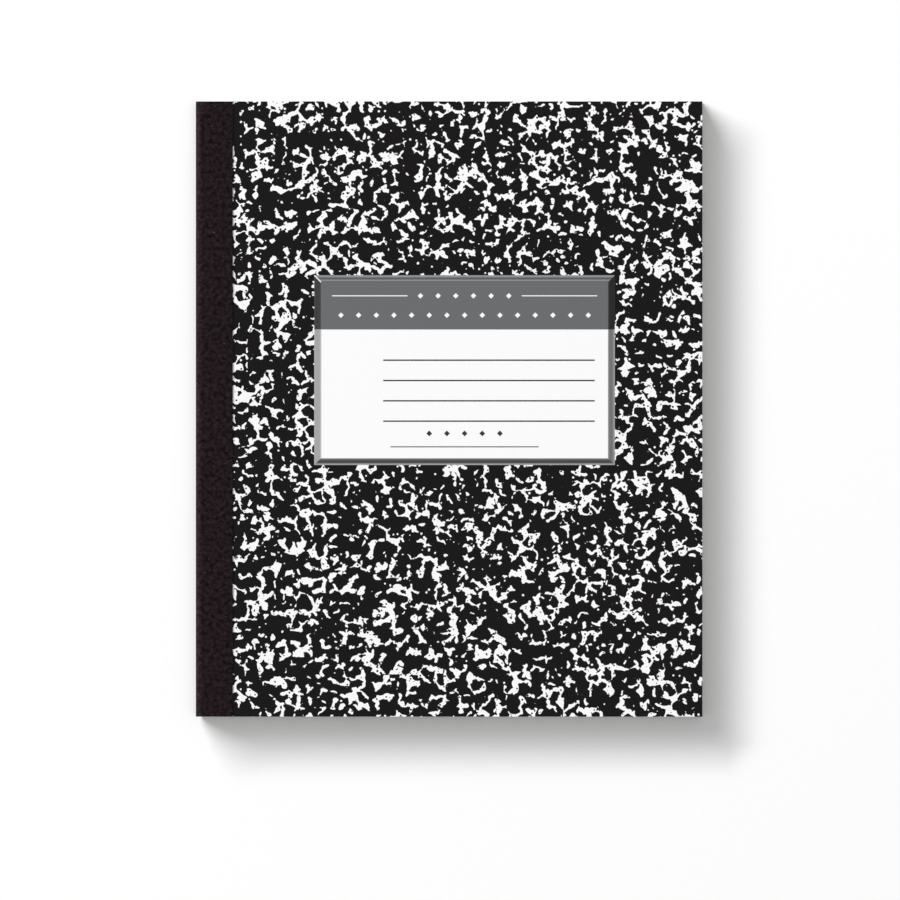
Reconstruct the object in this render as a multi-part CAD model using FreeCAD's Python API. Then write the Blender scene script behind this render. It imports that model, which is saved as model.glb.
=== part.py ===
import FreeCAD, Part
import math
import os
import random

# A sewn composition notebook of 36 leaves, lying closed on its back cover.
# The double sheets are folded once and nested, so the pages, the card cover and the cloth tape
# are all rounded about one fold line inside the spine. The card and the tape are parted along
# the seam, at the outermost line of the spine, where the covers and the pages turn.
# Frame: origin at the middle of the footprint on the table, +X from the spine to the fore-edge,
# +Y from the tail to the head, +Z up through the front cover. Millimetres.

# Trimmed book
TRIM_WIDTH = 177.8
TRIM_HEIGHT = 215.9

# Leaves: the pitch is the paper's own thickness and the air that stays between loose leaves
LEAF_COUNT = 36
LEAF_PITCH = 0.09
INNER_LOOP_RADIUS = 0.5
INNER_LOOP_LENGTH = 3.0

# Cover card, and the cloth tape glued over its fold
COVER_AIR = 0.05
CARD_THICKNESS = 0.5
TAPE_THICKNESS = 0.2
TAPE_STRIP = 13.0

# Seam along the fold: thread, its play in the needle holes, and where it starts and ends
THREAD = 0.3
THREAD_EASE = 0.05
STITCH_LENGTH = 12.7
SEAM_END_MARGIN = 3.0

# Printing ink, and the white flecks that it leaves bare
INK_THICKNESS = 0.03
FLECK_SPACING = 15.0
FLECK_DRIFT = 3.8
FLECK_TIP_NEAR = 6.0
FLECK_TIP_FAR = 10.5
FLECK_NOTCH_NEAR = 2.1
FLECK_NOTCH_FAR = 3.9
FEWEST_ARM_COUNT = 3
MOST_ARM_COUNT = 4
FLECK_TURN = 0.3
SMALLEST_ISLAND_AREA = 1.0

# Name label, placed from the spine's outer line and from the head
LABEL_LEFT = 41.6
LABEL_TOP = 61.0
LABEL_WIDTH = 105.5
LABEL_HEIGHT = 66.6
LABEL_FRAME = 2.4
LABEL_BAND_DEPTH = 19.0
WRITING_LINE_LEFT = 24.2
WRITING_LINE_MARGIN = 7.1
WRITING_LINE_THICKNESS = 0.45
WRITING_LINE_TOP = 29.8
WRITING_LINE_SPACING = 7.13
WRITING_LINE_COUNT = 4
BAND_RULE_TOP = 7.2
BAND_RULE_THICKNESS = 0.4
BAND_RULE_MARGIN = 6.2
BAND_RULE_LENGTH = 26.5
BAND_ROW_TOP = 14.0
FOOT_ROW_RISE = 11.1
FOOT_ROW_LENGTH = 31.0
FOOT_RULE_RISE = 6.4
FOOT_RULE_LENGTH = 52.0
FOOT_RULE_THICKNESS = 0.3
LOZENGE = 2.0
LOZENGE_SPACING = 6.2

# Radii about the fold line, from the leaves outwards
LEAVES_OUT = LEAF_COUNT * LEAF_PITCH / 2
CARD_IN = LEAVES_OUT + COVER_AIR
CARD_OUT = CARD_IN + CARD_THICKNESS
TAPE_OUT = CARD_OUT + TAPE_THICKNESS

# Places in the book's frame
SPINE_X = -TRIM_WIDTH / 2
FORE_X = TRIM_WIDTH / 2
HEAD_Y = TRIM_HEIGHT / 2
TAIL_Y = -TRIM_HEIGHT / 2
FOLD_X = SPINE_X + TAPE_OUT
FOLD_Z = TAPE_OUT
TAPE_EDGE_X = SPINE_X + TAPE_STRIP
LABEL_Z = FOLD_Z + CARD_OUT
THREAD_ROOM = THREAD + 2 * THREAD_EASE
FRONT = 1
BACK = -1


def about_fold(radius, degrees, side=FRONT):
    """A point of the section: turned from the seam (0) to the flat (90) of the given side."""
    angle = math.radians(degrees)
    return FreeCAD.Vector(FOLD_X - radius * math.cos(angle), 0, FOLD_Z + side * radius * math.sin(angle))


def in_section(x, z):
    """A point of the section by its place in the book's frame."""
    return FreeCAD.Vector(x, 0, z)


def through(start, middle, end):
    """An arc edge through three points."""
    return Part.Arc(start, middle, end).toShape()


def from_tail_to_head(edges):
    """Draws a closed section in the XZ plane out to the book's full height."""
    section = Part.Face(Part.Wire(edges))
    section.translate(FreeCAD.Vector(0, TAIL_Y, 0))
    return section.extrude(FreeCAD.Vector(0, TRIM_HEIGHT, 0))


def box(x_range, y_range, z_range):
    """A plain block between two places on each axis."""
    size = [end - start for start, end in (x_range, y_range, z_range)]
    return Part.makeBox(*size, FreeCAD.Vector(x_range[0], y_range[0], z_range[0]))


def flat_face(points, z):
    """A flat face with straight sides through the given plan points."""
    loop = [FreeCAD.Vector(x, y, z) for x, y in points]
    return Part.Face(Part.makePolygon(loop + loop[:1]))


def rectangle(left, top, width, height, z):
    """A flat rectangle given by its upper left corner in plan."""
    right = left + width
    bottom = top - height
    return flat_face([(left, top), (left, bottom), (right, bottom), (right, top)], z)


def needle_places():
    """Where the needle goes through the fold, evenly spaced about mid-height."""
    seam = TRIM_HEIGHT - 2 * SEAM_END_MARGIN
    runs = int(seam / STITCH_LENGTH)
    return [(number - runs / 2) * STITCH_LENGTH for number in range(runs + 1)]


def needle_holes():
    """Channels for the thread, from the middle of the fold out through the card."""
    half = THREAD_ROOM / 2
    return [
        box((SPINE_X, FOLD_X), (y - half, y + half), (FOLD_Z - half, FOLD_Z + half))
        for y in needle_places()
    ]


def thread_groove():
    """The groove that the tight outer run of thread presses along the card's fold."""
    places = needle_places()
    half = THREAD_ROOM / 2
    return box(
        (SPINE_X, FOLD_X - CARD_OUT + THREAD_ROOM),
        (places[0] - half, places[-1] + half),
        (FOLD_Z - half, FOLD_Z + half),
    )


def page_block():
    """All leaves as one solid: rounded fold, flat stack, inner loop and needle holes."""
    top = FOLD_Z + LEAVES_OUT
    bottom = FOLD_Z - LEAVES_OUT
    fold = through(about_fold(LEAVES_OUT, 90, BACK), about_fold(LEAVES_OUT, 0), about_fold(LEAVES_OUT, 90))
    stack = [in_section(FOLD_X, top), in_section(FORE_X, top)]
    stack += [in_section(FORE_X, bottom), in_section(FOLD_X, bottom)]
    block = from_tail_to_head([fold] + Part.makePolygon(stack).Edges)

    loop_lower = about_fold(INNER_LOOP_RADIUS, 90, BACK)
    loop_upper = about_fold(INNER_LOOP_RADIUS, 90)
    loop_round = through(loop_lower, about_fold(INNER_LOOP_RADIUS, 0), loop_upper)
    loop_tip = in_section(FOLD_X + INNER_LOOP_LENGTH, FOLD_Z)
    loop = from_tail_to_head([loop_round] + Part.makePolygon([loop_upper, loop_tip, loop_lower]).Edges)
    return block.cut([loop] + needle_holes())


def binding_thread():
    """The seam: an outer run, an inner run, and a leg through each needle hole."""
    places = needle_places()
    outer_face = FOLD_X - CARD_OUT + THREAD_EASE
    inner_face = FOLD_X - INNER_LOOP_RADIUS + THREAD_EASE + THREAD
    depth = inner_face - outer_face
    top_end = places[-1] + THREAD / 2
    low_end = places[0] - THREAD / 2
    low_z = FOLD_Z - THREAD / 2
    runs_and_legs = rectangle(outer_face, top_end, depth, top_end - low_end, low_z)
    between_legs = [
        rectangle(outer_face + THREAD, y - THREAD / 2, depth - 2 * THREAD, y - y_below - THREAD, low_z)
        for y_below, y in zip(places, places[1:])
    ]
    return runs_and_legs.cut(between_legs).extrude(FreeCAD.Vector(0, 0, THREAD))


def cover_layer(inner, outer, end_x, side):
    """A sheet of one cover: from the seam round its quarter of the fold, then flat to end_x."""
    outer_z = FOLD_Z + side * outer
    inner_z = FOLD_Z + side * inner
    outer_round = through(about_fold(outer, 0), about_fold(outer, 45, side), about_fold(outer, 90, side))
    flat = Part.makePolygon(
        [
            in_section(FOLD_X, outer_z),
            in_section(end_x, outer_z),
            in_section(end_x, inner_z),
            in_section(FOLD_X, inner_z),
        ]
    )
    inner_round = through(about_fold(inner, 90, side), about_fold(inner, 45, side), about_fold(inner, 0))
    seam_edge = Part.makeLine(about_fold(inner, 0), about_fold(outer, 0))
    return from_tail_to_head([outer_round] + flat.Edges + [inner_round, seam_edge])


def card_cover(side):
    """Half of the card cover, cut back at the seam for the thread."""
    return cover_layer(CARD_IN, CARD_OUT, FORE_X, side).cut([thread_groove()] + needle_holes())


def cloth_tape(side):
    """Half of the tape strip, over the seam and onto the cover's face."""
    return cover_layer(CARD_OUT, TAPE_OUT, TAPE_EDGE_X, side)


def fleck(column, row, z, side):
    """One white fleck: a pointed splash with a few arms, the same at every build."""
    chance = random.Random(f"side {side} column {column} row {row}")
    arms = chance.randint(FEWEST_ARM_COUNT, MOST_ARM_COUNT)
    centre_x = TAPE_EDGE_X + (column + 0.5) * FLECK_SPACING + chance.uniform(-1, 1) * FLECK_DRIFT
    centre_y = HEAD_Y - (row + 0.5) * FLECK_SPACING + chance.uniform(-1, 1) * FLECK_DRIFT
    heading = chance.uniform(0, math.tau)
    outline = []
    for corner in range(2 * arms):
        if corner % 2 == 0:
            radius = chance.uniform(FLECK_TIP_NEAR, FLECK_TIP_FAR)
        else:
            radius = chance.uniform(FLECK_NOTCH_NEAR, FLECK_NOTCH_FAR)
        angle = heading + (corner + chance.uniform(-1, 1) * FLECK_TURN) * math.pi / arms
        outline.append((centre_x + radius * math.cos(angle), centre_y + radius * math.sin(angle)))
    return flat_face(outline, z)


def marble_field(z, side):
    """The inked face of one cover beside its tape, with a window for each white fleck."""
    width = FORE_X - TAPE_EDGE_X
    columns = math.ceil(width / FLECK_SPACING)
    rows = math.ceil(TRIM_HEIGHT / FLECK_SPACING)
    flecks = [fleck(column, row, z, side) for column in range(columns) for row in range(rows)]
    return rectangle(TAPE_EDGE_X, HEAD_Y, width, TRIM_HEIGHT, z).cut(flecks)


def printed(field, side):
    """Ink on one cover's face, without islands too small for the printing plate."""
    ink = FreeCAD.Vector(0, 0, side * INK_THICKNESS)
    islands = [face.extrude(ink) for face in field.Faces if face.Area > SMALLEST_ISLAND_AREA]
    return Part.makeCompound(islands)


def on_label(left, top, width, height):
    """A rectangle on the front cover, measured from the label's own upper left corner."""
    return rectangle(SPINE_X + LABEL_LEFT + left, HEAD_Y - LABEL_TOP - top, width, height, LABEL_Z)


def label_rule(left, middle, length, thickness):
    """A thin rule on the label, its middle that far below the label's head."""
    return on_label(left, middle - thickness / 2, length, thickness)


def lozenge_row(middle, length):
    """A row of lozenges centred on the label, as many as the length takes."""
    count = int(length / LOZENGE_SPACING)
    middle_x = SPINE_X + LABEL_LEFT + LABEL_WIDTH / 2
    middle_y = HEAD_Y - LABEL_TOP - middle
    half = LOZENGE / 2
    corners = [(-half, 0), (0, -half), (half, 0), (0, half)]
    row = []
    for number in range(count):
        x = middle_x + (number - (count - 1) / 2) * LOZENGE_SPACING
        row.append(flat_face([(x + right, middle_y + up) for right, up in corners], LABEL_Z))
    return row


def front_marble_print():
    """The front cover's black marbled ink, all round the label."""
    label = on_label(0, 0, LABEL_WIDTH, LABEL_HEIGHT)
    return printed(marble_field(LABEL_Z, FRONT).cut(label), FRONT)


def back_marble_print():
    """The back cover's black marbled ink, all over."""
    return printed(marble_field(FOLD_Z - CARD_OUT, BACK), BACK)


def label_lines():
    """The label's black ink: writing lines, and a row of lozenges over a rule at the foot."""
    length = LABEL_WIDTH - WRITING_LINE_LEFT - WRITING_LINE_MARGIN
    lines = [
        label_rule(
            WRITING_LINE_LEFT,
            WRITING_LINE_TOP + number * WRITING_LINE_SPACING,
            length,
            WRITING_LINE_THICKNESS,
        )
        for number in range(WRITING_LINE_COUNT)
    ]
    foot_rule = label_rule(
        (LABEL_WIDTH - FOOT_RULE_LENGTH) / 2,
        LABEL_HEIGHT - FOOT_RULE_RISE,
        FOOT_RULE_LENGTH,
        FOOT_RULE_THICKNESS,
    )
    foot_row = lozenge_row(LABEL_HEIGHT - FOOT_ROW_RISE, FOOT_ROW_LENGTH)
    return printed(Part.makeCompound(lines + [foot_rule] + foot_row), FRONT)


def label_print():
    """The label's grey ink: a frame, and a band at its head with bare rules and lozenges."""
    outside = on_label(0, 0, LABEL_WIDTH, LABEL_HEIGHT)
    panel = on_label(
        LABEL_FRAME,
        LABEL_BAND_DEPTH,
        LABEL_WIDTH - 2 * LABEL_FRAME,
        LABEL_HEIGHT - LABEL_FRAME - LABEL_BAND_DEPTH,
    )
    inside_margins = LABEL_WIDTH - 2 * BAND_RULE_MARGIN
    rule_lefts = (BAND_RULE_MARGIN, LABEL_WIDTH - BAND_RULE_MARGIN - BAND_RULE_LENGTH)
    bare = [label_rule(left, BAND_RULE_TOP, BAND_RULE_LENGTH, BAND_RULE_THICKNESS) for left in rule_lefts]
    bare += lozenge_row(BAND_RULE_TOP, inside_margins - 2 * BAND_RULE_LENGTH)
    bare += lozenge_row(BAND_ROW_TOP, inside_margins)
    return printed(outside.cut([panel] + bare), FRONT)


def main():
    """Writes each piece to its own file."""
    pieces = {
        "page_block": page_block(),
        "binding_thread": binding_thread(),
        "front_cover": card_cover(FRONT),
        "front_tape": cloth_tape(FRONT),
        "front_marble_print": front_marble_print(),
        "label_print": label_print(),
        "label_lines": label_lines(),
        "back_cover": card_cover(BACK),
        "back_tape": cloth_tape(BACK),
        "back_marble_print": back_marble_print(),
    }
    os.makedirs("parts", exist_ok=True)
    for name, shape in pieces.items():
        shape.exportStep(f"parts/{name}.step")
        print(name, "solids", len(shape.Solids), "valid", shape.isValid(), "mm3", round(shape.Volume, 2))


main()
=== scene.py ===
"""Composition notebook: the sewn book dressed with its cloth, print, paper and thread."""

import logging
import math
import random
from dataclasses import dataclass, field
from enum import Enum

import bmesh
import bpy
from mathutils import Matrix, Vector


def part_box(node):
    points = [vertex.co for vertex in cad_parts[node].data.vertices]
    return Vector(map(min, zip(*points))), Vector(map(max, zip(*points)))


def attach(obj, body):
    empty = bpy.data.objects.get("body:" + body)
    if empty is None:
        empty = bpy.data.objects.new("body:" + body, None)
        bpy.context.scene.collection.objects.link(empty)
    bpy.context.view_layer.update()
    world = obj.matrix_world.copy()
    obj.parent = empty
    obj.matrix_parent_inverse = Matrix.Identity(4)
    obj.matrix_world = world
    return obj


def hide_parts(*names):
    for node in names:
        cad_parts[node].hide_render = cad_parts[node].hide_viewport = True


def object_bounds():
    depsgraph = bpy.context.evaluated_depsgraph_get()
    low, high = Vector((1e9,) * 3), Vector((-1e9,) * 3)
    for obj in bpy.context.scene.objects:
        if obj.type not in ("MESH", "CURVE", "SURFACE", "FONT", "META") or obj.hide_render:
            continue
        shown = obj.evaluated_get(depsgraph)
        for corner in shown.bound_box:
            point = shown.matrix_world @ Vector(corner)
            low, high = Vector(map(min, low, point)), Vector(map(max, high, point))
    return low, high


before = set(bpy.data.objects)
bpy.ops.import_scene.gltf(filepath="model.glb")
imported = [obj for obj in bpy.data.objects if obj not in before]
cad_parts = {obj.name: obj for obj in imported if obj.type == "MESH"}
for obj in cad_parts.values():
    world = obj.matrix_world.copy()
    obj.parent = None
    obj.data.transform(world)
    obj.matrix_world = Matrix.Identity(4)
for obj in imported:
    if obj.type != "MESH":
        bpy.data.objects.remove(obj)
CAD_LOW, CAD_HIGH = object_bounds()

MM = 0.001
CUT_EDGE_RISE = 0.2
SHARP_ANGLE = math.radians(30)
NOISE_MIDDLE = 0.5
IOR = 1.5

log = logging.getLogger("composition_notebook")

Rgba = tuple[float, float, float, float]
Span = tuple[float, float]
Shift = tuple[float, float, float]
Stops = tuple[tuple[float, str], ...]
Tree = bpy.types.NodeTree
Node = bpy.types.Node
Socket = bpy.types.NodeSocket


def linear(hex_colour: str) -> Rgba:
    """Turns an sRGB hex colour to linear light.

    Args:
        hex_colour: six hex digits after a hash.

    Returns:
        Linear red, green and blue, and an alpha of 1.
    """
    parts = [int(hex_colour[place : place + 2], 16) / 255 for place in (1, 3, 5)]
    red, green, blue = (v / 12.92 if v <= 0.04045 else ((v + 0.055) / 1.055) ** 2.4 for v in parts)
    return (red, green, blue, 1.0)


def add(tree: Tree, kind: str, inputs: dict | tuple = (), stops: Stops = (), **settings: object) -> Node:
    """Adds a node with its settings, its input values and its links.

    Args:
        tree: the node tree that gets the node.
        kind: the node's Blender type, without ShaderNode in front.
        inputs: values to set and nodes or sockets to link, in the inputs' order or by name or number.
        stops: a colour ramp's places from 0 to 1, each with its sRGB hex colour.
        settings: the node's own properties.

    Returns:
        The new node. As another node's input it stands for its first output in use.
    """
    node = tree.nodes.new(f"ShaderNode{kind}")
    for name, value in settings.items():
        setattr(node, name, value)
    while stops and len(node.color_ramp.elements) < len(stops):
        node.color_ramp.elements.new(1.0)
    for number, (place, colour) in enumerate(stops):
        node.color_ramp.elements[number].position = place
        node.color_ramp.elements[number].color = linear(colour)
    for key, value in inputs.items() if isinstance(inputs, dict) else enumerate(inputs):
        if isinstance(value, Node):
            value = next(socket for socket in value.outputs if socket.enabled)
        if isinstance(value, Socket):
            tree.links.new(value, node.inputs[key])
        else:
            node.inputs[key].default_value = value
    return node


def millimetres(tree: Tree) -> Node:
    """Gives a tree the place on the notebook in millimetres.

    Args:
        tree: the material's node tree.

    Returns:
        Object coordinates times 1000.
    """
    place = add(tree, "TexCoord").outputs["Object"]
    return add(tree, "VectorMath", {0: place, "Scale": 1 / MM}, operation="SCALE")


def upward(tree: Tree) -> Socket:
    """Gives a tree how much a face looks up on the closed book, from -1 to 1.

    Args:
        tree: the material's node tree.

    Returns:
        The upward part of the piece's own normal, which turns with the piece.
    """
    normal = add(tree, "TexCoord").outputs["Normal"]
    return add(tree, "SeparateXYZ", (normal,)).outputs["Z"]


def bare_material(name: str) -> bpy.types.Material:
    """Makes a material with an empty node tree.

    Args:
        name: the real material and how its surface was made.

    Returns:
        The material.
    """
    material = bpy.data.materials.new(name)
    material.use_nodes = True
    material.node_tree.nodes.clear()
    return material


class Body(Enum):
    """The bodies that the pieces ride on."""

    BACK_COVER = "back_cover"
    PAGE_BLOCK = "page_block"
    FRONT_COVER = "front_cover"


class Side(Enum):
    """The two covers of the closed book, with the way their outer face looks."""

    FRONT = 1
    BACK = -1

    @property
    def word(self) -> str:
        """The side's name as the solids use it."""
        return self.name.lower()

    @property
    def body(self) -> Body:
        """The body that the side's pieces ride on."""
        return Body(f"{self.word}_cover")


class Slot(Enum):
    """The record's material slots of the pieces that are made here."""

    RULED_PAPER = "ruled_paper"
    WHITE_THREAD = "white_thread"
    TAPE_CLOTH = "tape_cloth"
    BLACK_INK = "black_ink"


@dataclass(frozen=True)
class CoatedCard:
    """Cover card, clay coated and calendered outside only.

    The eye sees smooth bright white outside, a warmer matt white with fine fibres inside, and a duller
    fibrous core on the cut edges, darkened further by painted shade. The fibres' lengths are in
    millimetres.
    """

    outer: Stops = ((0.3, "#F6F6F6"), (0.7, "#FBFBFB"))
    inner: Stops = ((0.3, "#DEDCD5"), (0.7, "#E9E7E1"))
    # The card's duller core on its cut edges, darkened further by painted shade against the low lamp.
    edge: Stops = ((0.3, "#A09D95"), (0.7, "#AEABA3"))
    fibre_length: float = 1.2
    fibre_width: float = 0.12
    roughness: float = 0.5
    specular: float = 0.3
    fibre_strength: float = 0.15
    fibre_depth: float = 0.02

    def material(self, side: Side) -> bpy.types.Material:
        """Makes the card of one cover.

        Args:
            side: the cover that gets it.

        Returns:
            The material.
        """
        material = bare_material(f"white_board_clay_coated_{side.word}")
        tree = material.node_tree
        per_fibre = (1 / self.fibre_length, 1 / self.fibre_width, 1 / self.fibre_width)
        stretch = add(tree, "Mapping", {"Vector": millimetres(tree), "Scale": per_fibre})
        fibres = add(tree, "TexNoise", {"Vector": stretch, "Scale": 1.0, "Detail": 2.0})
        inner = add(tree, "ValToRGB", (fibres,), self.inner)
        # Cut edges: the card's duller core with painted shade on top.
        edge = add(tree, "ValToRGB", (fibres,), self.edge)
        outer = add(tree, "ValToRGB", (fibres,), self.outer)
        outward = add(tree, "Math", (upward(tree), side.value), operation="MULTIPLY")
        off_inside = add(tree, "Math", (outward, -CUT_EDGE_RISE), operation="GREATER_THAN")
        on_outside = add(tree, "Math", (outward, CUT_EDGE_RISE), operation="GREATER_THAN")
        colour = add(tree, "Mix", {"Factor": off_inside, 6: inner, 7: edge}, data_type="RGBA")
        colour = add(tree, "Mix", {"Factor": on_outside, 6: colour, 7: outer}, data_type="RGBA")
        raised = {"Height": fibres, "Strength": self.fibre_strength, "Distance": self.fibre_depth * MM}
        surface = {
            "Base Color": colour,
            "Roughness": self.roughness,
            "IOR": IOR,
            "Specular IOR Level": self.specular,
            "Normal": add(tree, "Bump", raised),
        }
        add(tree, "OutputMaterial", {"Surface": add(tree, "BsdfPrincipled", surface)})
        return material


@dataclass(frozen=True)
class MarbledPrint:
    """Black offset ink over white card, from a marbled sheet: islands, veins, dots and pinholes.

    The lengths are in millimetres on the card. A lift is how much a part of the pattern helps the card
    to stay bare. The eye sees sharp white shapes a millimetre or two wide on a satin black ground.
    """

    ink: Stops = ((0.3, "#121011"), (0.7, "#171516"))
    bare: str = "#F6F6F6"
    side_shift: float = 40.0
    up_shift: float = 3.1
    wander_shift: Shift = (5.0, 3.5, 1.5)
    wander_length: float = 2.5
    wander: float = 2.8
    blot_shift: Shift = (11.0, 7.7, 3.3)
    blot_length: float = 2.7
    blot_detail: float = 0.6
    ink_level: float = 0.215
    cell: float = 4.4
    vein_core: float = 0.1
    vein_reach: float = 1.07
    vein_lift: float = 0.23
    cloud_shift: Shift = (37.0, 25.9, 11.1)
    cloud_length: float = 7.5
    cloud_detail: float = 1.5
    cloud_lift: float = 0.9
    ragged_shift: Shift = (67.0, 46.9, 20.1)
    ragged_length: float = 1.2
    ragged_detail: float = 1.0
    ragged_lift: float = 0.07
    dot_spacing: float = 2.2
    dot_radius: float = 0.42
    dot_share: float = 0.14
    hole_shift: Shift = (31.0, 17.0, 0.0)
    hole_spacing: float = 1.7
    hole_radius: float = 0.4
    hole_share: float = 0.85
    no_round: float = -0.02
    round_slope: float = 0.1
    blur: float = 0.003
    film_scale: float = 2.2
    roughness: Span = (0.42, 0.58)
    specular: float = 0.1
    ink_strength: float = 0.2
    ink_depth: float = 0.01

    def bareness(self, tree: Tree, shift: float) -> Node:
        """Works out where the card is bare.

        Args:
            tree: the material's node tree.
            shift: how far the pattern is moved, so that both covers differ.

        Returns:
            1 on bare card and 0 on ink.
        """
        moved = {"Vector": millimetres(tree), "Location": (shift, self.up_shift, 0.0)}
        place = add(tree, "Mapping", moved)
        drifted = self.drifted(tree, place)
        blots = add(tree, "Mapping", {"Vector": drifted, "Location": self.blot_shift})
        blots = {"Vector": blots, "Scale": 1 / self.blot_length, "Detail": self.blot_detail}
        blots = add(tree, "TexNoise", blots)
        bare = add(tree, "Math", (blots, NOISE_MIDDLE + self.ink_level), operation="SUBTRACT")
        bare = add(tree, "Math", (bare, self.veins(tree, drifted)), operation="ADD")
        clouds = (self.cloud_shift, self.cloud_length, self.cloud_detail, self.cloud_lift)
        ragged = (self.ragged_shift, self.ragged_length, self.ragged_detail, self.ragged_lift)
        for offset, length, detail, lift in (clouds, ragged):
            patch = add(tree, "Mapping", {"Vector": place, "Location": offset})
            patch = add(tree, "TexNoise", {"Vector": patch, "Scale": 1 / length, "Detail": detail})
            patch = add(tree, "Math", (patch, NOISE_MIDDLE), operation="SUBTRACT")
            bare = add(tree, "Math", (patch, lift, bare), operation="MULTIPLY_ADD")

        dots = self.rounds(tree, place, self.dot_spacing, self.dot_radius, self.dot_share)
        bare = add(tree, "Math", (bare, dots), operation="MAXIMUM")
        hole_place = add(tree, "Mapping", {"Vector": place, "Location": self.hole_shift})
        holes = self.rounds(tree, hole_place, self.hole_spacing, self.hole_radius, self.hole_share)
        holes = add(tree, "Math", (holes, -1.0), operation="MULTIPLY")
        bare = add(tree, "Math", (bare, holes), operation="MINIMUM")
        return add(tree, "MapRange", (bare, -self.blur, self.blur))

    def drifted(self, tree: Tree, place: Node) -> Node:
        """Lets the place wander, so that the shapes look as if they had floated.

        Args:
            tree: the material's node tree.
            place: the place in millimetres.

        Returns:
            The place that has wandered.
        """
        drift = add(tree, "Mapping", {"Vector": place, "Location": self.wander_shift})
        drift = add(tree, "TexNoise", {"Vector": drift, "Scale": 1 / self.wander_length, "Detail": 1.0})
        middle = (NOISE_MIDDLE, NOISE_MIDDLE, NOISE_MIDDLE)
        drift = add(tree, "VectorMath", (drift.outputs["Color"], middle), operation="SUBTRACT")
        drift = add(tree, "VectorMath", {0: drift, "Scale": self.wander}, operation="SCALE")
        return add(tree, "VectorMath", (place, drift), operation="ADD")

    def veins(self, tree: Tree, place: Node) -> Node:
        """Works out the branching veins.

        Args:
            tree: the material's node tree.
            place: the place in millimetres.

        Returns:
            The lift of a vein, which fades beside it.
        """
        cells = add(
            tree,
            "TexVoronoi",
            {"Vector": place, "Scale": 1 / self.cell, "Randomness": 1.0},
            feature="DISTANCE_TO_EDGE",
            voronoi_dimensions="2D",
        )
        off_vein = add(tree, "Math", (cells.outputs["Distance"], self.cell), operation="MULTIPLY")
        fade = (off_vein, self.vein_core, self.vein_reach, self.vein_lift, 0.0)
        return add(tree, "MapRange", fade, interpolation_type="SMOOTHSTEP")

    def rounds(self, tree: Tree, place: Node, spacing: float, radius: float, share: float) -> Node:
        """Works out small scattered rounds.

        Args:
            tree: the material's node tree.
            place: the place in millimetres.
            spacing: the side of the square that holds one round.
            radius: the largest round's radius.
            share: the share of the squares that hold a round.

        Returns:
            The lift of a round: above zero inside it, below zero outside.
        """
        spots = add(
            tree,
            "TexVoronoi",
            {"Vector": place, "Scale": 1 / spacing, "Randomness": 1.0},
            feature="F1",
            voronoi_dimensions="2D",
        ).outputs
        chance = add(tree, "SeparateColor", (spots["Color"],))
        size = add(tree, "MapRange", (chance, 1 - share, 1.0, self.no_round, radius / spacing))
        depth = add(tree, "Math", (size, spots["Distance"]), operation="SUBTRACT")
        return add(tree, "Math", (depth, self.round_slope * spacing), operation="MULTIPLY")

    def material(self, side: Side) -> bpy.types.Material:
        """Makes the print of one cover.

        Args:
            side: the cover that gets it.

        Returns:
            The material.
        """
        material = bare_material(f"black_ink_offset_printed_marble_{side.word}")
        tree = material.node_tree
        bare = self.bareness(tree, self.side_shift * side.value)
        place = millimetres(tree)
        film = add(tree, "TexNoise", {"Vector": place, "Scale": self.film_scale, "Detail": 3.0})
        ink = add(tree, "ValToRGB", (film,), self.ink)
        colour = {"Factor": bare, 6: ink, 7: linear(self.bare)}
        inked = add(tree, "Math", (1.0, bare), operation="SUBTRACT")
        raised = {"Height": inked, "Strength": self.ink_strength, "Distance": self.ink_depth * MM}
        surface = {
            "Base Color": add(tree, "Mix", colour, data_type="RGBA"),
            "Roughness": add(tree, "MapRange", (film, 0.0, 1.0, *self.roughness)),
            "IOR": IOR,
            "Specular IOR Level": self.specular,
            "Normal": add(tree, "Bump", raised),
        }
        add(tree, "OutputMaterial", {"Surface": add(tree, "BsdfPrincipled", surface)})
        return material


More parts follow.
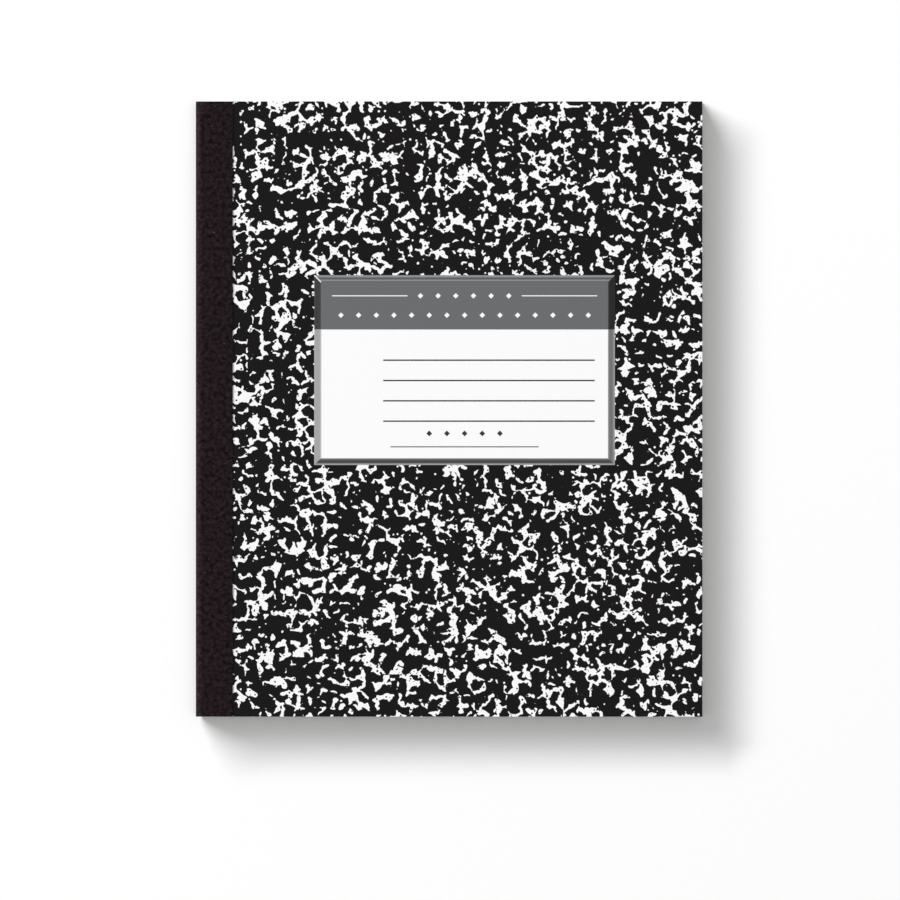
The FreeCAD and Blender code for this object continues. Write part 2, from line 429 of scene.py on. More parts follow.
@dataclass(frozen=True)
class LabelPrint:
    """Grey offset ink of the name label: a plain band, and a frame shaded like a mitred moulding.

    The places of the bars' stops are shares of the frame's width, from its outer edge to its inner
    edge. A side bar has its own stops beside the band and beside the white panel.
    """

    band: Stops = ((0.3, "#676869"), (0.7, "#696A6C"))
    top: Stops = (
        (0.0, "#8D8E8F"),
        (0.22, "#8E8F90"),
        (0.4, "#57585A"),
        (0.55, "#5A5B5D"),
        (0.75, "#909193"),
        (1.0, "#4C4D4F"),
    )
    bottom: Stops = (
        (0.0, "#9E9D9D"),
        (0.15, "#9C9B9B"),
        (0.32, "#464646"),
        (0.62, "#454545"),
        (0.85, "#6A6A6A"),
        (1.0, "#A9A9A9"),
    )
    left_band: Stops = (
        (0.0, "#494847"),
        (0.2, "#3A3938"),
        (0.5, "#3A3B3A"),
        (0.8, "#3B3D3C"),
        (1.0, "#505253"),
    )
    left_panel: Stops = ((0.0, "#B0B0B0"), (0.2, "#A2A3A2"), (0.8, "#A4A5A4"), (1.0, "#C6C7C6"))
    right_band: Stops = ((0.0, "#2C2829"), (0.2, "#211F20"), (0.8, "#212324"), (1.0, "#45474A"))
    right_panel: Stops = (
        (0.0, "#A4A5A4"),
        (0.18, "#8B8C8B"),
        (0.4, "#6F706F"),
        (0.8, "#727372"),
        (1.0, "#9A9B9A"),
    )
    glint: str = "#F2F3F3"
    glint_half_width: float = 0.22
    glint_share: float = 0.85
    grain_scale: float = 1.5
    roughness: Span = (0.42, 0.58)
    specular: float = 0.2

    def material(
        self, low: Vector, high: Vector, frame_width: float, band_depth: float
    ) -> bpy.types.Material:
        """Makes the label's print.

        Args:
            low: the label's lowest corner in metres.
            high: the label's highest corner in metres.
            frame_width: the frame's width in metres.
            band_depth: how far the band reaches down from the label's top, in metres.

        Returns:
            The material.
        """
        material = bare_material("grey_ink_offset_printed_label")
        tree = material.node_tree
        centre = (low + high) / 2
        to_label = {
            "Vector": add(tree, "TexCoord").outputs["Object"],
            "Location": (-centre.x / MM, -centre.y / MM, 0.0),
            "Scale": (1 / MM, 1 / MM, 1 / MM),
        }
        place = add(tree, "Mapping", to_label)
        split = add(tree, "SeparateXYZ", (place,)).outputs
        half_w = (high.x - low.x) / 2 / MM
        half_h = (high.y - low.y) / 2 / MM
        frame_mm = frame_width / MM
        from_left = add(tree, "Math", (split["X"], half_w), operation="ADD")
        from_right = add(tree, "Math", (half_w, split["X"]), operation="SUBTRACT")
        from_foot = add(tree, "Math", (split["Y"], half_h), operation="ADD")
        from_top = add(tree, "Math", (half_h, split["Y"]), operation="SUBTRACT")
        sideways = add(tree, "Math", (from_left, from_right), operation="MINIMUM")
        upright = add(tree, "Math", (from_top, from_foot), operation="MINIMUM")
        depth = add(tree, "Math", (sideways, upright), operation="MINIMUM")
        across = add(tree, "Math", (depth, frame_mm), operation="DIVIDE")

        on_right = add(tree, "Math", (split["X"], 0.0), operation="GREATER_THAN")
        on_top = add(tree, "Math", (split["Y"], 0.0), operation="GREATER_THAN")
        by_band = add(tree, "Math", (split["Y"], half_h - band_depth / MM), operation="GREATER_THAN")
        on_side_bar = add(tree, "Math", (sideways, upright), operation="LESS_THAN")
        level_bar = self.either(tree, on_top, across, self.bottom, self.top)
        left_bar = self.either(tree, by_band, across, self.left_panel, self.left_band)
        right_bar = self.either(tree, by_band, across, self.right_panel, self.right_band)
        side_bar = add(tree, "Mix", {"Factor": on_right, 6: left_bar, 7: right_bar}, data_type="RGBA")
        bar = add(tree, "Mix", {"Factor": on_side_bar, 6: level_bar, 7: side_bar}, data_type="RGBA")

        off_mitre = add(tree, "Math", (from_left, from_top), operation="SUBTRACT")
        off_mitre = add(tree, "Math", (off_mitre,), operation="ABSOLUTE")
        fade = (self.glint_half_width, 2 * self.glint_half_width)
        glint = add(tree, "MapRange", (off_mitre, *fade, self.glint_share, 0.0))
        corner = add(tree, "Math", (from_left, frame_mm), operation="LESS_THAN")
        glint = add(tree, "Math", (glint, corner), operation="MULTIPLY")
        bar = add(tree, "Mix", {"Factor": glint, 6: bar, 7: linear(self.glint)}, data_type="RGBA")

        grain = add(tree, "TexNoise", {"Vector": place, "Scale": self.grain_scale, "Detail": 3.0})
        band = add(tree, "ValToRGB", (grain,), self.band)
        in_frame = add(tree, "Math", (across, 1.0), operation="LESS_THAN")
        surface = {
            "Base Color": add(tree, "Mix", {"Factor": in_frame, 6: band, 7: bar}, data_type="RGBA"),
            "Roughness": add(tree, "MapRange", (grain, 0.0, 1.0, *self.roughness)),
            "IOR": IOR,
            "Specular IOR Level": self.specular,
        }
        add(tree, "OutputMaterial", {"Surface": add(tree, "BsdfPrincipled", surface)})
        return material

    def either(self, tree: Tree, share: Node, across: Node, first: Stops, second: Stops) -> Node:
        """Shades a bar in one of two ways.

        Args:
            tree: the material's node tree.
            share: 0 where the first stops hold, 1 where the second do.
            across: the place across the frame.
            first: the first stops.
            second: the second stops.

        Returns:
            The bar's colour.
        """
        one = add(tree, "ValToRGB", (across,), first)
        other = add(tree, "ValToRGB", (across,), second)
        return add(tree, "Mix", {"Factor": share, 6: one, 7: other}, data_type="RGBA")


@dataclass(frozen=True)
class LineInk:
    """Black offset ink of the writing lines: thin, slightly uneven lines."""

    colour: Stops = ((0.35, "#2A2829"), (0.8, "#4A4849"))
    film_scale: float = 1.3
    roughness: float = 0.5
    specular: float = 0.2

    def material(self) -> bpy.types.Material:
        """Makes the ink, a little paler where the film is thin.

        Returns:
            The material.
        """
        material = bare_material("black_ink_offset_printed_lines")
        tree = material.node_tree
        place = millimetres(tree)
        film = add(tree, "TexNoise", {"Vector": place, "Scale": self.film_scale, "Detail": 2.0})
        surface = {
            "Base Color": add(tree, "ValToRGB", (film,), self.colour),
            "Roughness": self.roughness,
            "IOR": IOR,
            "Specular IOR Level": self.specular,
        }
        add(tree, "OutputMaterial", {"Surface": add(tree, "BsdfPrincipled", surface)})
        return material


@dataclass(frozen=True)
class BookCloth:
    """Woven and filled cotton cloth, dyed black with a red-brown cast: dull, mottled, with pale fibres.

    The lengths are in millimetres. Real book cloth has threads 0.3 mm apart; they are drawn 0.55 mm
    apart, because finer ones don't show.
    """

    colour: Stops = ((0.41, "#070304"), (0.79, "#2E2126"))
    blue_cast: str = "#15141B"
    fibre: str = "#6E6669"
    thread_spacing: float = 0.55
    wobble_scale: float = 0.7
    wobble: float = 0.5
    weave_share: float = 0.15
    mottle_length: float = 1.5
    mottle_roughness: float = 0.6
    cast_length: float = 2.5
    cast_span: Span = (0.5, 0.7)
    cast_share: float = 0.6
    fibre_stretch: Shift = (0.55, 2.6, 1.0)
    fibre_turn: float = 0.6
    fibre_span: Span = (0.745, 0.78)
    fibre_share: float = 0.7
    roughness: float = 0.85
    specular: float = 0.06
    weave_strength: float = 0.6
    weave_depth: float = 0.04

    def material(self) -> bpy.types.Material:
        """Makes the cloth from the strip's own map, whose unit is the metre.

        Returns:
            The material.
        """
        material = bare_material("cotton_cloth_plain_woven_black")
        tree = material.node_tree
        place = add(tree, "UVMap", uv_map="weave")
        place = add(tree, "VectorMath", {0: place, "Scale": 1 / MM}, operation="SCALE")
        mottle = {"Scale": 1 / self.mottle_length, "Detail": 2.0, "Roughness": self.mottle_roughness}
        mottle = add(tree, "TexNoise", {"Vector": place, **mottle})
        weave = self.weave(tree, place)
        tone = add(tree, "Math", (weave, self.weave_share, mottle), operation="MULTIPLY_ADD")
        dyed = add(tree, "ValToRGB", (tone,), self.colour)
        cast = add(tree, "TexNoise", {"Vector": place, "Scale": 1 / self.cast_length, "Detail": 2.0})
        cast = add(tree, "MapRange", (cast, *self.cast_span, 0.0, self.cast_share))
        cloth = {"Factor": cast, 6: dyed, 7: linear(self.blue_cast)}
        cloth = add(tree, "Mix", cloth, data_type="RGBA")
        lint = {"Scale": self.fibre_stretch, "Rotation": (0.0, 0.0, self.fibre_turn)}
        lint = add(tree, "Mapping", {"Vector": place, **lint})
        lint = add(tree, "TexNoise", {"Vector": lint, "Scale": 1.0, "Detail": 1.0})
        lint = add(tree, "MapRange", (lint, *self.fibre_span, 0.0, self.fibre_share))
        colour = {"Factor": lint, 6: cloth, 7: linear(self.fibre)}
        raised = {"Height": tone, "Strength": self.weave_strength, "Distance": self.weave_depth * MM}
        surface = {
            "Base Color": add(tree, "Mix", colour, data_type="RGBA"),
            "Roughness": self.roughness,
            "IOR": IOR,
            "Specular IOR Level": self.specular,
            "Normal": add(tree, "Bump", raised),
        }
        add(tree, "OutputMaterial", {"Surface": add(tree, "BsdfPrincipled", surface)})
        return material

    def weave(self, tree: Tree, place: Node) -> Node:
        """Works out the plain weave, whose threads wander a little.

        Args:
            tree: the material's node tree.
            place: the place on the strip in millimetres.

        Returns:
            The weave's height from 0 to 1.
        """
        wobble = add(tree, "TexNoise", {"Vector": place, "Scale": self.wobble_scale, "Detail": 2.0})
        wobble = {0: wobble.outputs["Color"], "Scale": self.wobble}
        wobble = add(tree, "VectorMath", wobble, operation="SCALE")
        woven = add(tree, "VectorMath", (place, wobble), operation="ADD")
        split = add(tree, "SeparateXYZ", (woven,)).outputs
        waves = []
        for axis in ("X", "Y"):
            phase = (split[axis], math.pi / self.thread_spacing)
            phase = add(tree, "Math", phase, operation="MULTIPLY")
            waves.append(add(tree, "Math", (phase,), operation="SINE"))
        crossed = add(tree, "Math", tuple(waves), operation="MULTIPLY")
        return add(tree, "MapRange", (crossed, -1.0, 1.0))


@dataclass(frozen=True)
class RuledPaper:
    """Uncoated wood-free writing paper, machine finished: matt white with fine pale-blue and red rules.

    The lengths are in millimetres. Wide ruling has lines 8.73 mm apart. The cut edges carry painted
    shade.
    """

    colour: Stops = ((0.3, "#EFEDE4"), (0.7, "#F3F1E9"))
    # Cut edges: painted shade for light trapped between leaves, dark enough not to burn out in the low
    # lamp.
    shaded_cut_edge: str = "#A6A39B"
    blue: str = "#8FB3D4"
    red: str = "#D78C93"
    line_spacing: float = 8.73
    line_width: float = 0.3
    line_blur: float = 0.06
    header: float = 30.0
    foot: float = 9.0
    margin: float = 31.75
    roughness: float = 0.8
    specular: float = 0.2
    cloud_scale: float = 0.25
    tooth_scale: float = 3.0
    tooth_strength: float = 0.3
    tooth_depth: float = 0.02

    def on_rule(self, tree: Tree, off_rule: Node) -> Node:
        """Works out where a rule's ink is.

        Args:
            tree: the material's node tree.
            off_rule: how far the place is from the rule's middle, either way.

        Returns:
            1 on the rule and 0 off it.
        """
        off_rule = add(tree, "Math", (off_rule,), operation="ABSOLUTE")
        half = self.line_width / 2
        return add(tree, "MapRange", (off_rule, half, half + self.line_blur, 1.0, 0.0))

    def material(self, low: Vector, high: Vector) -> bpy.types.Material:
        """Makes the paper with its rules.

        Args:
            low: the page block's lowest corner in metres.
            high: the page block's highest corner in metres.

        Returns:
            The material.
        """
        material = bare_material("writing_paper_uncoated_ruled")
        tree = material.node_tree
        place = millimetres(tree)
        split = add(tree, "SeparateXYZ", (place,)).outputs
        down = add(tree, "Math", (high.y / MM - self.header, split["Y"]), operation="SUBTRACT")
        half = self.line_spacing / 2
        on_line = self.on_rule(tree, add(tree, "Math", (down, half, -half), operation="WRAP"))
        below_header = add(tree, "Math", (down, -self.line_width), operation="GREATER_THAN")
        above_foot = add(tree, "Math", (split["Y"], low.y / MM + self.foot), operation="GREATER_THAN")
        on_line = add(tree, "Math", (on_line, below_header), operation="MULTIPLY")
        on_line = add(tree, "Math", (on_line, above_foot), operation="MULTIPLY")

        middle = (low.z + high.z) / 2 / MM
        is_first_page = add(tree, "Math", (split["Z"], middle), operation="GREATER_THAN")
        margin = {"Factor": is_first_page, 2: high.x / MM - self.margin, 3: low.x / MM + self.margin}
        margin = add(tree, "Mix", margin, data_type="FLOAT")
        on_margin = self.on_rule(tree, add(tree, "Math", (split["X"], margin), operation="SUBTRACT"))

        cloudy = add(tree, "TexNoise", {"Vector": place, "Scale": self.cloud_scale, "Detail": 3.0})
        sheet = add(tree, "ValToRGB", (cloudy,), self.colour)
        sheet = add(tree, "Mix", {"Factor": on_line, 6: sheet, 7: linear(self.blue)}, data_type="RGBA")
        sheet = add(tree, "Mix", {"Factor": on_margin, 6: sheet, 7: linear(self.red)}, data_type="RGBA")
        # Faces that barely rise are cut edges and get the painted-shade colour.
        rise = add(tree, "Math", (upward(tree),), operation="ABSOLUTE")
        is_cut = add(tree, "Math", (rise, CUT_EDGE_RISE), operation="LESS_THAN")
        sheet = {"Factor": is_cut, 6: sheet, 7: linear(self.shaded_cut_edge)}
        tooth = add(tree, "TexNoise", {"Vector": place, "Scale": self.tooth_scale, "Detail": 4.0})
        raised = {"Height": tooth, "Strength": self.tooth_strength, "Distance": self.tooth_depth * MM}
        surface = {
            "Base Color": add(tree, "Mix", sheet, data_type="RGBA"),
            "Roughness": self.roughness,
            "IOR": IOR,
            "Specular IOR Level": self.specular,
            "Normal": add(tree, "Bump", raised),
        }
        add(tree, "OutputMaterial", {"Surface": add(tree, "BsdfPrincipled", surface)})
        return material


@dataclass(frozen=True)
class CottonThread:
    """Twisted and waxed cotton sewing thread: off-white, its plies catch light as slanting ridges."""

    colour: Stops = ((0.3, "#CFCABC"), (0.65, "#F0EEE6"))
    roughness: float = 0.7
    specular: float = 0.5
    fibre_scale: float = 6.0
    fibre_strength: float = 0.4
    fibre_depth: float = 0.02

    def material(self) -> bpy.types.Material:
        """Makes the thread with fine fibres along it.

        Returns:
            The material.
        """
        material = bare_material("cotton_thread_twisted_white")
        tree = material.node_tree
        place = millimetres(tree)
        fibres = add(tree, "TexNoise", {"Vector": place, "Scale": self.fibre_scale, "Detail": 3.0})
        raised = {"Height": fibres, "Strength": self.fibre_strength, "Distance": self.fibre_depth * MM}
        surface = {
            "Base Color": add(tree, "ValToRGB", (fibres,), self.colour),
            "Roughness": self.roughness,
            "IOR": IOR,
            "Specular IOR Level": self.specular,
            "Normal": add(tree, "Bump", raised),
        }
        add(tree, "OutputMaterial", {"Surface": add(tree, "BsdfPrincipled", surface)})
        return material


@dataclass(frozen=True)
class StudioPaper:
    """Seamless white backdrop paper under the book: matt, no gloss."""

    colour: Stops = ((0.3, "#FCFCFC"), (0.7, "#FDFDFD"))
    tooth_scale: float = 0.5

    def material(self) -> bpy.types.Material:
        """Makes the backdrop paper.

        Returns:
            The material.
        """
        material = bare_material("backdrop_paper_matt")
        tree = material.node_tree
        place = millimetres(tree)
        tooth = add(tree, "TexNoise", {"Vector": place, "Scale": self.tooth_scale, "Detail": 2.0})
        colour = add(tree, "ValToRGB", (tooth,), self.colour)
        add(tree, "OutputMaterial", {"Surface": add(tree, "BsdfDiffuse", (colour,))})
        return material


def finished(
    name: str,
    shell: bmesh.types.BMesh,
    material: bpy.types.Material,
    body: Body,
    replaced: str,
    smooth: bool = False,
) -> bpy.types.Object:
    """Turns a bmesh into a dressed piece that rides on its body.

    Args:
        name: the piece's name.
        shell: the mesh in its final place; it is freed.
        material: the piece's finish.
        body: the body that carries the piece.
        replaced: the solid that the piece stands for.
        smooth: whether faces are shaded smooth up to the sharp angle.

    Returns:
        The piece.
    """
    mesh = bpy.data.meshes.new(name)
    shell.to_mesh(mesh)
    shell.free()
    mesh.materials.append(material)
    piece = bpy.data.objects.new(name, mesh)
    bpy.context.scene.collection.objects.link(piece)
    if smooth:
        mesh.shade_smooth()
        mesh.set_sharp_from_angle(angle=SHARP_ANGLE)
    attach(piece, body.value)
    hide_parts(replaced)
    log.info("%s: %d faces on %s", name, len(mesh.polygons), body.value)
    return piece


def dress(node: str, material: bpy.types.Material) -> None:
    """Gives a solid its finish.

    Args:
        node: the solid's name.
        material: its finish.
    """
    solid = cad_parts[node]
    solid.data.materials.clear()
    solid.data.materials.append(material)
    log.info("%s: dressed in %s", node, material.name)


def vertices_of(geometry: list) -> list[bmesh.types.BMVert]:
    """Picks the vertices out of an operator's result.

    Args:
        geometry: vertices, edges and faces, mixed.

    Returns:
        The vertices.
    """
    return [item for item in geometry if isinstance(item, bmesh.types.BMVert)]


def append(shell: bmesh.types.BMesh, part: bmesh.types.BMesh) -> None:
    """Adds a part's mesh to a larger mesh.

    Args:
        shell: the mesh that grows.
        part: the part in its final place; it is freed.
    """
    mesh = bpy.data.meshes.new("part")
    part.to_mesh(mesh)
    part.free()
    shell.from_mesh(mesh)
    bpy.data.meshes.remove(mesh)


@dataclass
class ClothStrip:
    """One half of the cloth strip: glued round the spine from the seam and onto a cover."""

    side: Side
    cloth: BookCloth
    thickness: float = 0.2 * MM
    round_steps: int = 16
    low: Vector = field(init=False)
    high: Vector = field(init=False)

    def __post_init__(self) -> None:
        """Reads the strip's place from its solid."""
        self.low, self.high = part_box(f"{self.side.word}_tape")

    @property
    def fold_radius(self) -> float:
        """The outer radius round the fold of the spine."""
        return self.high.z - self.low.z

    @property
    def fold(self) -> Vector:
        """The fold line's place at the tail."""
        fold_z = self.low.z if self.side is Side.FRONT else self.high.z
        return Vector((self.low.x + self.fold_radius, self.low.y, fold_z))

    def along(self, place: Vector) -> float:
        """Measures the way over the strip from the seam.

        Args:
            place: a point of the strip.

        Returns:
            The length in metres.
        """
        offset = place - self.fold
        if offset.x >= 0:
            return self.fold_radius * math.pi / 2 + offset.x
        return self.fold_radius * math.atan2(abs(offset.z), -offset.x)

    def shell(self) -> bmesh.types.BMesh:
        """Spins the round, draws the flat out to the strip's edge and gives both their thickness.

        Returns:
            The mesh.
        """
        shell = bmesh.new()
        seam = shell.verts.new((self.low.x, self.low.y, self.fold.z))
        turned = bmesh.ops.spin(
            shell,
            geom=[seam],
            cent=self.fold,
            axis=(0, self.side.value, 0),
            angle=math.pi / 2,
            steps=self.round_steps,
        )
        flat = bmesh.ops.extrude_vert_indiv(shell, verts=vertices_of(turned["geom_last"]))
        bmesh.ops.translate(shell, verts=flat["verts"], vec=(self.high.x - self.fold.x, 0, 0))
        sheet = bmesh.ops.extrude_edge_only(shell, edges=shell.edges[:])
        height = self.high.y - self.low.y
        bmesh.ops.translate(shell, verts=vertices_of(sheet["geom"]), vec=(0, height, 0))
        bmesh.ops.recalc_face_normals(shell, faces=shell.faces[:])
        if sum(face.normal.z * face.calc_area() for face in shell.faces) * self.side.value < 0:
            bmesh.ops.reverse_faces(shell, faces=shell.faces[:])
        bmesh.ops.solidify(shell, geom=shell.faces[:], thickness=self.thickness)
        return shell

    def build(self) -> bpy.types.Object:
        """Makes the strip and lays its weave along it.

        Returns:
            The piece.
        """
        shell = self.shell()
        weave = shell.loops.layers.uv.new("weave")
        for face in shell.faces:
            for corner in face.loops:
                corner[weave].uv = (self.along(corner.vert.co), corner.vert.co.y)
        name = f"{self.side.word}_cloth_strip"
        tape = f"{self.side.word}_tape"
        cloth = self.cloth.material()
        return finished(name, shell, cloth, self.side.body, tape, True)


@dataclass
class MarbledCover:
    """One cover: its coated card, and the marbled print on the card's outer face."""

    side: Side
    card: CoatedCard
    marble: MarbledPrint

    def shell(self) -> bmesh.types.BMesh:
        """Makes the printed sheet, with a window where the name label is.

        Returns:
            The mesh.
        """
        low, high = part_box(f"{self.side.word}_marble_print")
        shell = bmesh.new()
        size = Matrix.Diagonal((high.x - low.x, high.y - low.y, 1.0, 1.0))
        place = Matrix.Translation(((low.x + high.x) / 2, (low.y + high.y) / 2, low.z))
        bmesh.ops.create_grid(shell, x_segments=1, y_segments=1, size=0.5, matrix=place @ size)
        if self.side is Side.FRONT:
            label_low, label_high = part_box("label_print")
            for across in ((1, 0, 0), (0, 1, 0)):
                for corner in (label_low, label_high):
                    everything = shell.verts[:] + shell.edges[:] + shell.faces[:]
                    bmesh.ops.bisect_plane(shell, geom=everything, plane_co=corner, plane_no=across)
            middle = (label_low + label_high) / 2
            window = min(shell.faces, key=lambda face: (face.calc_center_median() - middle).length)
            bmesh.ops.delete(shell, geom=[window], context="FACES")
        raised = bmesh.ops.extrude_face_region(shell, geom=shell.faces[:], use_keep_orig=True)
        bmesh.ops.translate(shell, verts=vertices_of(raised["geom"]), vec=(0, 0, high.z - low.z))
        bmesh.ops.recalc_face_normals(shell, faces=shell.faces[:])
        return shell

    def build(self) -> bpy.types.Object:
        """Dresses the card and makes the printed sheet on it.

        Returns:
            The piece.
        """
        dress(f"{self.side.word}_cover", self.card.material(self.side))
        name = f"{self.side.word}_marbled_sheet"
        print_node = f"{self.side.word}_marble_print"
        marble = self.marble.material(self.side)
        return finished(name, self.shell(), marble, self.side.body, print_node)


@dataclass
class NameLabel:
    """The name label that is printed on the front cover."""

    grey: LabelPrint
    black: LineInk
    frame_width: float = 2.4 * MM
    band_depth: float = 19.0 * MM

    def build(self) -> None:
        """Dresses the label's frame, band and lines."""
        low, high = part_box("label_print")
        dress("label_print", self.grey.material(low, high, self.frame_width, self.band_depth))
        dress("label_lines", self.black.material())


@dataclass
class SewnLeaves:
    """The folded and nested sheets, and the thread that sews them through the fold."""

    paper: RuledPaper
    cotton: CottonThread
    sheet_count: int = 18
    paper_thickness: float = 0.06 * MM
    loop_radius: float = 0.5 * MM
    loop_length: float = 3.0 * MM
    uneven_trim: float = 0.12 * MM
    trim_seed: int = 36
    fold_steps: int = 14
    thread: float = 0.3 * MM
    stitch_length: float = 12.7 * MM
    ply_turn: float = 1.6 * MM
    ply_flatness: float = 0.62
    ply_segments: int = 8
    steps_in_turn: int = 6
    fewest_steps: int = 4
    low: Vector = field(init=False)
    high: Vector = field(init=False)

    def __post_init__(self) -> None:
        """Reads the block's place from its solid."""
        self.low, self.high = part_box("page_block")

    @property
    def stack_half(self) -> float:
        """Half the height of the stack of leaves."""
        return (self.high.z - self.low.z) / 2

    @property
    def fold(self) -> Vector:
        """The fold line's place at the tail."""
        return Vector((self.low.x + self.stack_half, self.low.y, (self.low.z + self.high.z) / 2))

    def add_sheet(self, shell: bmesh.types.BMesh, number: int, trim: float) -> None:
        """Adds one folded sheet.

        Args:
            shell: the mesh of all sheets.
            number: the sheet's place, 0 for the outermost.
            trim: how far its fore-edge stands back.
        """
        one = bmesh.new()
        pitch = self.stack_half / self.sheet_count
        level = self.stack_half - pitch / 2 - number * pitch
        fold_pitch = (self.stack_half - self.loop_radius) / self.sheet_count
        radius = self.stack_half - fold_pitch / 2 - number * fold_pitch
        flat_length = self.high.x - self.fold.x - self.loop_length - trim
        start = one.verts.new(self.fold + Vector((0, 0, -radius)))
        turned = bmesh.ops.spin(
            one,
            geom=[start],
            cent=self.fold,
            axis=(0, 1, 0),
            angle=math.pi,
            steps=self.fold_steps,
        )
        ends = [(start, -1)] + [(vertex, 1) for vertex in vertices_of(turned["geom_last"])]
        for vertex, way in ends:
            ramp = bmesh.ops.extrude_vert_indiv(one, verts=[vertex])["verts"]
            bmesh.ops.translate(one, verts=ramp, vec=(self.loop_length, 0, way * (level - radius)))
            leaf = bmesh.ops.extrude_vert_indiv(one, verts=ramp)["verts"]
            bmesh.ops.translate(one, verts=leaf, vec=(flat_length, 0, 0))
        sheet = bmesh.ops.extrude_edge_only(one, edges=one.edges[:])
        height = self.high.y - self.low.y
        bmesh.ops.translate(one, verts=vertices_of(sheet["geom"]), vec=(0, height, 0))
        bmesh.ops.recalc_face_normals(one, faces=one.faces[:])
        bmesh.ops.solidify(one, geom=one.faces[:], thickness=self.paper_thickness)
        bmesh.ops.recalc_face_normals(one, faces=one.faces[:])
        append(shell, one)

    def build_sheets(self) -> bpy.types.Object:
        """Nests the sheets into the block of leaves.

        Returns:
            The piece.
        """
        chance = random.Random(self.trim_seed)
        shell = bmesh.new()
        for number in range(self.sheet_count):
            self.add_sheet(shell, number, chance.uniform(0.0, self.uneven_trim))
        return finished(
            "nested_leaves",
            shell,
            self.paper.material(self.low, self.high),
            Body.PAGE_BLOCK,
            "page_block",
            True,
        )

    def add_ply(self, shell: bmesh.types.BMesh, start: Vector, end: Vector) -> None:
        """Adds a straight piece of twisted thread.

        Args:
            shell: the thread's mesh.
            start: the middle of its first end.
            end: the middle of its other end.
        """
        way = (end - start).normalized()
        turns = (end - start).length / self.ply_turn
        steps = max(self.fewest_steps, round(turns * self.steps_in_turn))
        stand = way.to_track_quat("Z", "Y").to_matrix().to_4x4()
        flattened = Matrix.Diagonal((1.0, self.ply_flatness, 1.0, 1.0))
        ply = bmesh.new()
        bmesh.ops.create_circle(
            ply,
            cap_ends=True,
            segments=self.ply_segments,
            radius=self.thread / 2,
            matrix=Matrix.Translation(start) @ stand @ flattened,
        )
        bmesh.ops.spin(
            ply,
            geom=ply.verts[:] + ply.edges[:] + ply.faces[:],
            cent=start,
            axis=way,
            dvec=(end - start) / steps,
            angle=turns * 2 * math.pi,
            steps=steps,
        )
        bmesh.ops.recalc_face_normals(ply, faces=ply.faces[:])
        append(shell, ply)

    def build_thread(self) -> bpy.types.Object:
        """Lays the outer run, the inner run and a leg through each needle hole.

        Returns:
            The piece.
        """
        low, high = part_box("binding_thread")
        shell = bmesh.new()
        half = self.thread / 2
        level = (low.z + high.z) / 2
        outer_x = low.x + half
        inner_x = high.x - half
        stitch_count = round((high.y - low.y) / self.stitch_length)
        holes = [(number - stitch_count / 2) * self.stitch_length for number in range(stitch_count + 1)]
        for hole_y in holes:
            self.add_ply(shell, Vector((outer_x, hole_y, level)), Vector((inner_x, hole_y, level)))
        for run_x in (outer_x, inner_x):
            for start_y, end_y in zip([low.y, *holes], [*holes, high.y]):
                if end_y - start_y > self.thread:
                    self.add_ply(shell, Vector((run_x, start_y, level)), Vector((run_x, end_y, level)))
        return finished(
            "sewing_thread",
            shell,
            self.cotton.material(),
            Body.PAGE_BLOCK,
            "binding_thread",
            True,
        )


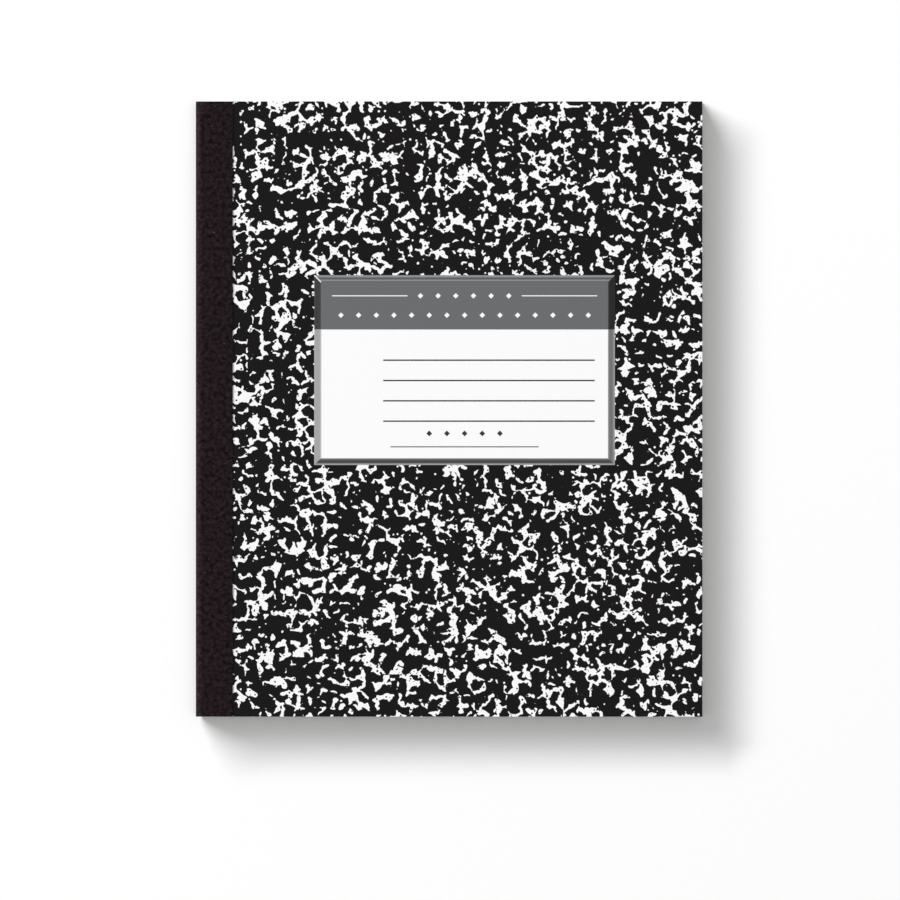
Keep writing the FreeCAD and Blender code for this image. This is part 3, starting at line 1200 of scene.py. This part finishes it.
@dataclass
class Studio:
    """Pale floor, soft light and the camera straight above the book.

    The book's centre is in the picture's pixels. Lengths are in metres, angles in degrees and powers
    in watts.
    """

    floor_paper: StudioPaper
    image_width: float = 900.0
    book_centre_across: float = 449.0
    book_centre_down: float = 409.0
    pixels_per_metre: float = 2849.8
    camera_height: float = 3.0
    camera_reach: Span = (0.1, 50.0)
    sensor: float = 36.0
    floor_half: float = 12.0
    floor_gap: float = 0.02 * MM
    lamp_distance: float = 9.0
    bearing: float = 135.0
    lamp_width: float = 7.0
    key_elevation: float = 12.0
    key_height: float = 0.59
    key_power: float = 1440.0
    fill_elevation: float = 18.0
    fill_height: float = 3.1
    fill_power: float = 645.0
    sky: float = 0.465

    def build_floor(self) -> None:
        """Lays the floor just under the back cover."""
        shell = bmesh.new()
        place = Matrix.Translation((0, 0, -self.floor_gap))
        bmesh.ops.create_grid(shell, x_segments=2, y_segments=2, size=self.floor_half, matrix=place)
        mesh = bpy.data.meshes.new("floor")
        shell.to_mesh(mesh)
        shell.free()
        mesh.materials.append(self.floor_paper.material())
        floor = bpy.data.objects.new("floor", mesh)
        bpy.context.scene.collection.objects.link(floor)

    def add_lamp(self, name: str, elevation: float, height: float, power: float) -> None:
        """Adds a wide lamp at the upper left that faces the book.

        Args:
            name: the lamp's name.
            elevation: its height over the floor in degrees.
            height: how tall the lamp itself is.
            power: its power in watts.
        """
        bearing = math.radians(self.bearing)
        rise = math.radians(elevation)
        level = math.cos(rise)
        way = Vector((math.cos(bearing) * level, math.sin(bearing) * level, math.sin(rise)))
        light = bpy.data.lights.new(name, "AREA")
        light.shape = "RECTANGLE"
        light.size = self.lamp_width
        light.size_y = height
        light.energy = power
        lamp = bpy.data.objects.new(name, light)
        lamp.location = way * self.lamp_distance
        lamp.rotation_euler = (-way).to_track_quat("-Z", "Y").to_euler()
        bpy.context.scene.collection.objects.link(lamp)

    def build_light(self) -> None:
        """Hangs a low key lamp, and a taller fill lamp over it, under an even sky."""
        self.add_lamp("key_lamp", self.key_elevation, self.key_height, self.key_power)
        self.add_lamp("fill_lamp", self.fill_elevation, self.fill_height, self.fill_power)
        world = bpy.data.worlds.new("even_sky")
        world.use_nodes = True
        tree = world.node_tree
        tree.nodes.clear()
        sky = add(tree, "Background", {"Color": linear("#FFFFFF"), "Strength": self.sky})
        add(tree, "OutputWorld", {"Surface": sky})
        bpy.context.scene.world = world

    def build_camera(self) -> None:
        """Hangs the camera straight above, so that the book lies where it does in the picture."""
        data = bpy.data.cameras.new("camera")
        data.sensor_width = self.sensor
        data.lens = self.sensor * self.camera_height * self.pixels_per_metre / self.image_width
        data.clip_start, data.clip_end = self.camera_reach
        camera = bpy.data.objects.new("camera", data)
        across = (self.image_width / 2 - self.book_centre_across) / self.pixels_per_metre
        down = (self.image_width / 2 - self.book_centre_down) / self.pixels_per_metre
        camera.location = (across, -down, CAD_HIGH.z + self.camera_height)
        bpy.context.scene.collection.objects.link(camera)
        bpy.context.scene.camera = camera

    def build(self) -> None:
        """Sets up the floor, the light, the camera and the plain view."""
        self.build_floor()
        self.build_light()
        self.build_camera()
        bpy.context.scene.view_settings.view_transform = "Standard"
        log.info("studio: floor, two lamps, sky and camera")


def main() -> None:
    """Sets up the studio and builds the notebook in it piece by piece."""
    logging.basicConfig(level=logging.INFO, format="%(relativeCreated)d ms, %(name)s: %(message)s")
    Studio(floor_paper=StudioPaper()).build()
    card = CoatedCard()
    marble = MarbledPrint()
    cloth = BookCloth()
    for side in Side:
        MarbledCover(side=side, card=card, marble=marble).build()
        ClothStrip(side=side, cloth=cloth).build()
    NameLabel(grey=LabelPrint(), black=LineInk()).build()
    leaves = SewnLeaves(paper=RuledPaper(), cotton=CottonThread())
    leaves.build_sheets()
    leaves.build_thread()


if __name__ == "__main__":
    main()
